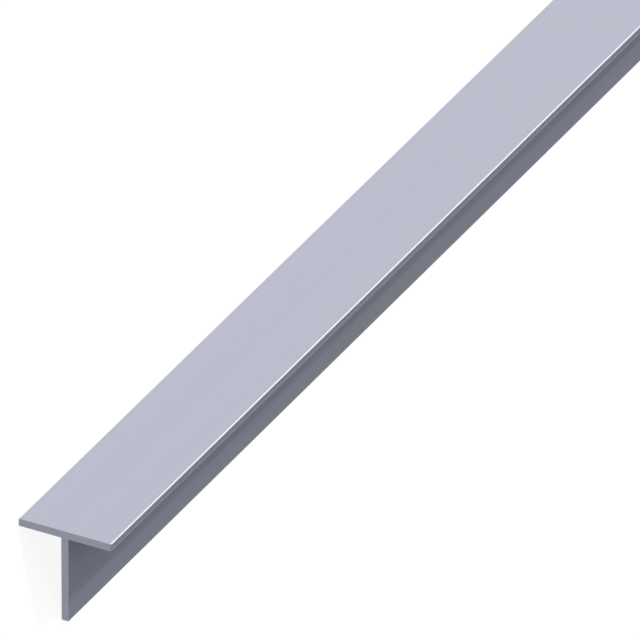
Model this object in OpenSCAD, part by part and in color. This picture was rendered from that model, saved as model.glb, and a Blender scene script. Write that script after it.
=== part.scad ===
// Aluminium T profile: one extruded bar with legs of equal size, sawn square at both ends.
// The section is drawn upright, stem down. The bar is then laid on the floor the way a
// loose one comes to rest, on the tip of its stem and the inner edge of its flange.

/* [Section] */
// Width across the flange
flange_width = 25; // [20:0.5:80]
// Thickness of the flange
flange_thickness = 2; // [1.2:0.1:5]
// Height from the tip of the stem to the outer face of the flange
section_height = 25; // [20:0.5:80]
// Thickness of the stem
stem_thickness = 2; // [1.2:0.1:5]

/* [Corners] */
// Radius on the six outer corners of the section
edge_radius = 0.3; // [0.1:0.05:0.5]
// Radius of the two fillets where the stem meets the flange
root_radius = 0.3; // [0.1:0.05:2]

/* [Stock] */
// Length that the bar is sold in
bar_length = 1000; // [250:50:6000]

/* [Hidden] */
$fn = 64;

// Length of the stem below the flange
stem_reach = section_height - flange_thickness;

// How far the flange stands out past each face of the stem
overhang = (flange_width - stem_thickness) / 2;

// Centres of the three corner roundings on the right half of the upright section
right_centres = [
    [stem_thickness / 2 - edge_radius, edge_radius],
    [flange_width / 2 - edge_radius, stem_reach + edge_radius],
    [flange_width / 2 - edge_radius, section_height - edge_radius]
];

// Angle the section turns through until the stem's tip and the flange's edge both touch the floor
lean = atan2(stem_reach, overhang);

// Where a point of the upright section comes to once the bar leans over
function leaned(p) = [p.x * cos(lean) - p.y * sin(lean), p.x * sin(lean) + p.y * cos(lean)];

// Centres of all six roundings on the leaning bar, across the floor and up from it
leaned_centres = [for (side = [-1, 1], p = right_centres) leaned([side * p.x, p.y])];
across = [for (p = leaned_centres) p.x];
up = [for (p = leaned_centres) p.y];

// Shift that sets the leaning bar on the floor, centred over the origin
floor_shift = [0, -(min(across) + max(across)) / 2, edge_radius - min(up)];

// A flat wall of the section, centred, with its four corners rounded
module wall(width, height) {
    square([width, height - 2 * edge_radius], center = true);
    square([width - 2 * edge_radius, height], center = true);
    for (x = [-1, 1], y = [-1, 1])
        translate([x * (width / 2 - edge_radius), y * (height / 2 - edge_radius)])
            circle(edge_radius);
}

// The hollow fillet in the right-hand corner between stem and flange
module root_fillet() {
    translate([stem_thickness / 2 + root_radius, stem_reach - root_radius])
        difference() {
            translate([-root_radius, 0]) square(root_radius);
            circle(root_radius);
        }
}

// The upright section, with the middle of the stem's tip at the origin
module section() {
    // The stem ends inside the flange, so that its upper corners are buried there
    stem_height = stem_reach + flange_thickness / 2;
    translate([0, stem_height / 2]) wall(stem_thickness, stem_height);
    translate([0, section_height - flange_thickness / 2]) wall(flange_width, flange_thickness);
    root_fillet();
    mirror([1, 0]) root_fillet();
}

// The whole bar, with its length along X
module t_profile() {
    color([0.73, 0.74, 0.80])
        translate(floor_shift)
            rotate([lean, 0, 0])
                rotate([90, 0, 90])
                    linear_extrude(bar_length, center = true) section();
}

t_profile();
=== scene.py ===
import math

import bmesh
import bpy
from mathutils import Matrix, Vector


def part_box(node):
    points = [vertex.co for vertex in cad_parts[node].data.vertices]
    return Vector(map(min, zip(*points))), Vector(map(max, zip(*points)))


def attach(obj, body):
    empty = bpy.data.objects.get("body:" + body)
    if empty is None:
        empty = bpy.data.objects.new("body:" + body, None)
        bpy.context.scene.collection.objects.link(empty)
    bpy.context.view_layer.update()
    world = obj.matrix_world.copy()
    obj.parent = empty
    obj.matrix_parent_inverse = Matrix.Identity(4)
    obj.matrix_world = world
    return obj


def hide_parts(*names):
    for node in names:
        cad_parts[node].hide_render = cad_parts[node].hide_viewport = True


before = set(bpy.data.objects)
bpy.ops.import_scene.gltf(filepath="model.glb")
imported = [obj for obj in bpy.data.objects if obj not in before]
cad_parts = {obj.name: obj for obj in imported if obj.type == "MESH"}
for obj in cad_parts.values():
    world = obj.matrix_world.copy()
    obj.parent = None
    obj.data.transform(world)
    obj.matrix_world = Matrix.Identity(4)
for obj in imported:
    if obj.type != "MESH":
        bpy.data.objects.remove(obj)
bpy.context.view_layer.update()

# The bar is an aluminium T profile with legs of equal size. The billet is pressed through a
# die, so its section is the same all along, with small radii on every corner, and fine die
# lines run down its length. It is left as extruded and sawn to length, square at both ends.
mm = 0.001
flange_width = 25 * mm
flange_thickness = 2 * mm
section_height = 25 * mm
stem_thickness = 2 * mm
edge_radius = 0.3 * mm
root_radius = 0.3 * mm
rounding_steps = 8
saw_break = 0.08 * mm
saw_break_steps = 2
ring_from_end = 0.4 * mm
cut_finish_slot = 1

bar_low, bar_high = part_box("t_profile")
bar_middle = (bar_low + bar_high) / 2
bar_length = bar_high.x - bar_low.x
half_flange = flange_width / 2
half_stem = stem_thickness / 2
stem_reach = section_height - flange_thickness

# The section is drawn upright, stem down, and then leans on the stem's tip and one flange edge
lean = math.atan2(stem_reach, half_flange - half_stem)
lean_turn = Matrix.Rotation(lean, 4, "X")

section_corners = [
    (half_stem, 0),
    (half_stem, stem_reach),
    (half_flange, stem_reach),
    (half_flange, section_height),
    (-half_flange, section_height),
    (-half_flange, stem_reach),
    (-half_stem, stem_reach),
    (-half_stem, 0),
]
bar_shape = bmesh.new()
far_corners = [bar_shape.verts.new((0, across, up)) for across, up in section_corners]
far_end = bar_shape.faces.new(far_corners)
drawn_out = bmesh.ops.extrude_face_region(bar_shape, geom=[far_end])["geom"]
near_corners = [part for part in drawn_out if isinstance(part, bmesh.types.BMVert)]
bmesh.ops.translate(bar_shape, verts=near_corners, vec=(bar_length, 0, 0))
bmesh.ops.recalc_face_normals(bar_shape, faces=bar_shape.faces)


def runs_along_bar(edge):
    first, last = (vert.co for vert in edge.verts)
    return abs(first.x - last.x) > bar_length / 2


def lies_at_root(edge):
    corner = edge.verts[0].co
    return abs(abs(corner.y) - half_stem) < saw_break and abs(corner.z - stem_reach) < saw_break


def faces_along_bar(face):
    return abs(face.normal.x) > abs(face.normal.y) + abs(face.normal.z)


def round_edges(edges, radius, steps):
    return bmesh.ops.bevel(
        bar_shape,
        geom=edges,
        offset=radius,
        offset_type="OFFSET",
        affect="EDGES",
        segments=steps,
        profile=0.5,
        material=-1,
        clamp_overlap=True,
    )["faces"]


long_edges = [edge for edge in bar_shape.edges if runs_along_bar(edge)]
outer_edges = [edge for edge in long_edges if not lies_at_root(edge)]
outer_strips = round_edges(outer_edges, edge_radius, rounding_steps)
root_edges = [edge for edge in bar_shape.edges if runs_along_bar(edge) and lies_at_root(edge)]
root_strips = round_edges(root_edges, root_radius, rounding_steps)
for face in bar_shape.faces:
    face.smooth = face in outer_strips or face in root_strips

# A ring of edges by each end keeps the shading of the long roundings straight along the bar
for ring in (ring_from_end, bar_length - ring_from_end):
    whole = bar_shape.verts[:] + bar_shape.edges[:] + bar_shape.faces[:]
    bmesh.ops.bisect_plane(bar_shape, geom=whole, plane_co=(ring, 0, 0), plane_no=(1, 0, 0))

# The saw cuts are the two end faces, with the burr taken off all round
end_faces = [face for face in bar_shape.faces if faces_along_bar(face)]
for face in end_faces:
    face.material_index = cut_finish_slot
cut_edges = [edge for edge in bar_shape.edges if any(map(faces_along_bar, edge.link_faces))]
for face in round_edges(cut_edges, saw_break, saw_break_steps):
    face.smooth = False

bmesh.ops.transform(bar_shape, matrix=lean_turn, verts=bar_shape.verts)
leaned_low = Vector(min(vert.co[axis] for vert in bar_shape.verts) for axis in range(3))
leaned_high = Vector(max(vert.co[axis] for vert in bar_shape.verts) for axis in range(3))
to_frame = bar_middle - (leaned_low + leaned_high) / 2
bmesh.ops.translate(bar_shape, verts=bar_shape.verts, vec=to_frame)


def put_in_scene(shape, name):
    mesh = bpy.data.meshes.new(name)
    shape.to_mesh(mesh)
    shape.free()
    piece = bpy.data.objects.new(name, mesh)
    bpy.context.scene.collection.objects.link(piece)
    return piece


def new_finish(name):
    finish = bpy.data.materials.new(name)
    finish.use_nodes = True
    return finish, finish.node_tree.nodes, finish.node_tree.links


bar = put_in_scene(bar_shape, "t_profile_bar")

# Extruded skin: satin bare metal with faint die lines, drawn out along the bar
skin_colour = (0.415, 0.423, 0.505, 1)
skin_colour_in_lines = (0.4, 0.408, 0.488, 1)
skin_metal_share = 0.65
skin_roughness = 0.19
skin_roughness_in_lines = 0.23
lines_per_metre = 2600
line_depth = 0.02 * mm
line_strength = 0.05

skin, nodes, links = new_finish("extruded_aluminium")
shader = nodes["Principled BSDF"]
shader.inputs["Metallic"].default_value = skin_metal_share
place = nodes.new("ShaderNodeTexCoord")
draw_out = nodes.new("ShaderNodeMapping")
draw_out.inputs["Scale"].default_value = (1, lines_per_metre, lines_per_metre)
links.new(place.outputs["Object"], draw_out.inputs["Vector"])
die_lines = nodes.new("ShaderNodeTexNoise")
die_lines.inputs["Scale"].default_value = 1.0
die_lines.inputs["Detail"].default_value = 3.0
die_lines.inputs["Roughness"].default_value = 0.6
links.new(draw_out.outputs["Vector"], die_lines.inputs["Vector"])
line_colour = nodes.new("ShaderNodeValToRGB")
line_colour.color_ramp.elements[0].position = 0.35
line_colour.color_ramp.elements[0].color = skin_colour_in_lines
line_colour.color_ramp.elements[1].position = 0.65
line_colour.color_ramp.elements[1].color = skin_colour
links.new(die_lines.outputs["Fac"], line_colour.inputs["Fac"])
links.new(line_colour.outputs["Color"], shader.inputs["Base Color"])
line_roughness = nodes.new("ShaderNodeMapRange")
line_roughness.inputs["To Min"].default_value = skin_roughness_in_lines
line_roughness.inputs["To Max"].default_value = skin_roughness
links.new(die_lines.outputs["Fac"], line_roughness.inputs["Value"])
links.new(line_roughness.outputs["Result"], shader.inputs["Roughness"])
line_relief = nodes.new("ShaderNodeBump")
line_relief.inputs["Strength"].default_value = line_strength
line_relief.inputs["Distance"].default_value = line_depth
links.new(die_lines.outputs["Fac"], line_relief.inputs["Height"])
links.new(line_relief.outputs["Normal"], shader.inputs["Normal"])
bar.data.materials.append(skin)

# Saw cut: duller bare metal with the arcs that the saw blade leaves
# Cut colours: partly the duller sawn finish, partly painted shade that darkens the end face
sawn_tone_and_painted_shade = (0.375, 0.398, 0.46, 1)
sawn_arc_tone_and_painted_shade = (0.339, 0.36, 0.416, 1)
cut_roughness = 0.6
blade_centre = Vector((0, 120 * mm, -60 * mm))
arc_spacing = 0.45 * mm
arc_depth = 0.03 * mm
arc_strength = 0.15

cut, nodes, links = new_finish("sawn_aluminium")
shader = nodes["Principled BSDF"]
shader.inputs["Metallic"].default_value = 1.0
shader.inputs["Roughness"].default_value = cut_roughness
place = nodes.new("ShaderNodeTexCoord")
to_blade = nodes.new("ShaderNodeMapping")
to_blade.inputs["Location"].default_value = -blade_centre
links.new(place.outputs["Object"], to_blade.inputs["Vector"])
saw_arcs = nodes.new("ShaderNodeTexWave")
saw_arcs.wave_type = "RINGS"
saw_arcs.rings_direction = "X"
# At a scale of 1 the rings lie pi / 10 apart
saw_arcs.inputs["Scale"].default_value = math.pi / 10 / arc_spacing
saw_arcs.inputs["Distortion"].default_value = 1.5
saw_arcs.inputs["Detail"].default_value = 2.0
links.new(to_blade.outputs["Vector"], saw_arcs.inputs["Vector"])
arc_colour = nodes.new("ShaderNodeValToRGB")
arc_colour.color_ramp.elements[0].color = sawn_arc_tone_and_painted_shade
arc_colour.color_ramp.elements[1].color = sawn_tone_and_painted_shade
links.new(saw_arcs.outputs["Fac"], arc_colour.inputs["Fac"])
links.new(arc_colour.outputs["Color"], shader.inputs["Base Color"])
arc_relief = nodes.new("ShaderNodeBump")
arc_relief.inputs["Strength"].default_value = arc_strength
arc_relief.inputs["Distance"].default_value = arc_depth
links.new(saw_arcs.outputs["Fac"], arc_relief.inputs["Height"])
links.new(arc_relief.outputs["Normal"], shader.inputs["Normal"])
bar.data.materials.append(cut)

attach(bar, "root")
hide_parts("t_profile")

# The floor is a plain white sheet that the bar lies on. It reaches far past the bar, so that
# nothing else shows behind it, looking down from any side. It keeps a faint shadow of the bar.
floor_half = 12.0
floor_paper = (0.9, 0.9, 0.9, 1)
floor_white_share = 0.9

floor_shape = bmesh.new()
bmesh.ops.create_grid(floor_shape, x_segments=1, y_segments=1, size=floor_half)
floor = put_in_scene(floor_shape, "floor")
white_floor, nodes, links = new_finish("white_floor")
nodes.clear()
paper = nodes.new("ShaderNodeBsdfDiffuse")
paper.inputs["Color"].default_value = floor_paper
glow = nodes.new("ShaderNodeEmission")
glow.inputs["Strength"].default_value = 1.0
seen_by = nodes.new("ShaderNodeLightPath")
in_sight = seen_by.outputs["Is Camera Ray"]
for ray in ("Is Glossy Ray", "Is Transmission Ray"):
    either = nodes.new("ShaderNodeMath")
    either.operation = "MAXIMUM"
    links.new(in_sight, either.inputs[0])
    links.new(seen_by.outputs[ray], either.inputs[1])
    in_sight = either.outputs["Value"]
white_share = nodes.new("ShaderNodeMath")
white_share.operation = "MULTIPLY"
white_share.inputs[1].default_value = floor_white_share
links.new(in_sight, white_share.inputs[0])
whitened = nodes.new("ShaderNodeMixShader")
links.new(white_share.outputs["Value"], whitened.inputs["Fac"])
links.new(paper.outputs["BSDF"], whitened.inputs[1])
links.new(glow.outputs["Emission"], whitened.inputs[2])
surface = nodes.new("ShaderNodeOutputMaterial")
links.new(whitened.outputs["Shader"], surface.inputs["Surface"])
floor.data.materials.append(white_floor)

# Soft studio light in a dim room with a pale ceiling. A key lamp throws the flange's shadow onto
# the stem and a broad ceiling lamp fills in, both kept out of the metal's mirror. Three large
# panels, in an arch beyond the far end, show as a bright line on the flange's rounded edge.
wall_colour = (0.124, 0.14, 0.153, 1)
ceiling_colour = (0.65, 0.655, 0.675, 1)
ceiling_direction = (0, -0.5, 0.866)
walls_end = 0.25
ceiling_start = 0.6

# The ends of walls and ceiling are cosines of the angle away from the ceiling's middle
room = bpy.data.worlds.new("studio_room")
room.use_nodes = True
nodes, links = room.node_tree.nodes, room.node_tree.links
outlook = nodes.new("ShaderNodeTexCoord")
towards_ceiling = nodes.new("ShaderNodeVectorMath")
towards_ceiling.operation = "DOT_PRODUCT"
towards_ceiling.inputs[1].default_value = ceiling_direction
links.new(outlook.outputs["Generated"], towards_ceiling.inputs[0])
room_shade = nodes.new("ShaderNodeValToRGB")
room_shade.color_ramp.interpolation = "EASE"
room_shade.color_ramp.elements[0].position = walls_end
room_shade.color_ramp.elements[0].color = wall_colour
room_shade.color_ramp.elements[1].position = ceiling_start
room_shade.color_ramp.elements[1].color = ceiling_colour
links.new(towards_ceiling.outputs["Value"], room_shade.inputs["Fac"])
links.new(room_shade.outputs["Color"], nodes["Background"].inputs["Color"])
bpy.context.scene.world = room


def soft_lamp(name, direction, strength, spread):
    lamp = bpy.data.lights.new(name, "SUN")
    lamp.energy = strength
    lamp.angle = spread
    holder = bpy.data.objects.new(name, lamp)
    holder.visible_glossy = False
    bpy.context.scene.collection.objects.link(holder)
    holder.rotation_euler = Vector(direction).to_track_quat("Z", "Y").to_euler()


soft_lamp("key_lamp", direction=(-0.35, -0.469, 0.811), strength=1.6, spread=math.radians(3.5))
soft_lamp("ceiling_lamp", direction=(0, -0.316, 0.948), strength=0.95, spread=math.radians(50))

panel_spot = Vector((bar_high.x - 140 * mm, 0, 20 * mm))
panel_reach = 9.0
panel_slant = math.radians(49.1)
panel_length = 5.25
panel_width = 1.8
panel_power = 72
panel_colour = (0.98, 1.0, 0.94)


def soft_panel(name, turn):
    towards = Vector((
        -math.sin(panel_slant),
        math.cos(panel_slant) * math.sin(turn),
        math.cos(panel_slant) * math.cos(turn),
    ))
    along = Vector((0, math.cos(turn), -math.sin(turn)))
    panel = bpy.data.lights.new(name, "AREA")
    panel.shape = "RECTANGLE"
    panel.size = panel_length
    panel.size_y = panel_width
    panel.energy = panel_power
    panel.color = panel_colour
    holder = bpy.data.objects.new(name, panel)
    bpy.context.scene.collection.objects.link(holder)
    axes = Matrix((along, towards.cross(along), towards)).transposed().to_4x4()
    holder.matrix_world = Matrix.Translation(panel_spot + towards * panel_reach) @ axes


for panel_name, degrees in (("low_panel", -66), ("middle_panel", -18), ("high_panel", 30)):
    soft_panel(panel_name, math.radians(degrees))

# The camera looks as the photograph's does, onto the flange's outer face, with one side of the
# stem and the near end in sight, and it leans over with the bar. A very long lens from far off
# keeps the bar's edges all but parallel, as they are there.
view_turn = math.radians(27.99)
view_rise = math.radians(31.3)
view_width = 154.44 * mm
aim_from_near_end = 114.1 * mm
aim_off_middle = 8.16 * mm
lens_length = 1400 * mm
film_width = 36 * mm
camera_distance = view_width * lens_length / film_width

stem_tip = Vector((bar_low.x, to_frame.y, to_frame.z))
upright_to_frame = Matrix.Translation(stem_tip) @ lean_turn
aim = upright_to_frame @ Vector((bar_length - aim_from_near_end, aim_off_middle, section_height))
sight = Vector((
    math.cos(view_rise) * math.cos(view_turn),
    math.cos(view_rise) * math.sin(view_turn),
    math.sin(view_rise),
))
rightward = Vector((-math.sin(view_turn), math.cos(view_turn), 0))
upward = sight.cross(rightward)
camera_axes = Matrix((rightward, upward, sight)).transposed().to_4x4()
lens = bpy.data.cameras.new("camera")
lens.lens = lens_length / mm
lens.sensor_width = film_width / mm
camera = bpy.data.objects.new("camera", lens)
bpy.context.scene.collection.objects.link(camera)
camera_place = aim + lean_turn @ sight * camera_distance
camera.matrix_world = Matrix.Translation(camera_place) @ lean_turn @ camera_axes
bpy.context.scene.camera = camera
bpy.context.scene.view_settings.view_transform = "Standard"
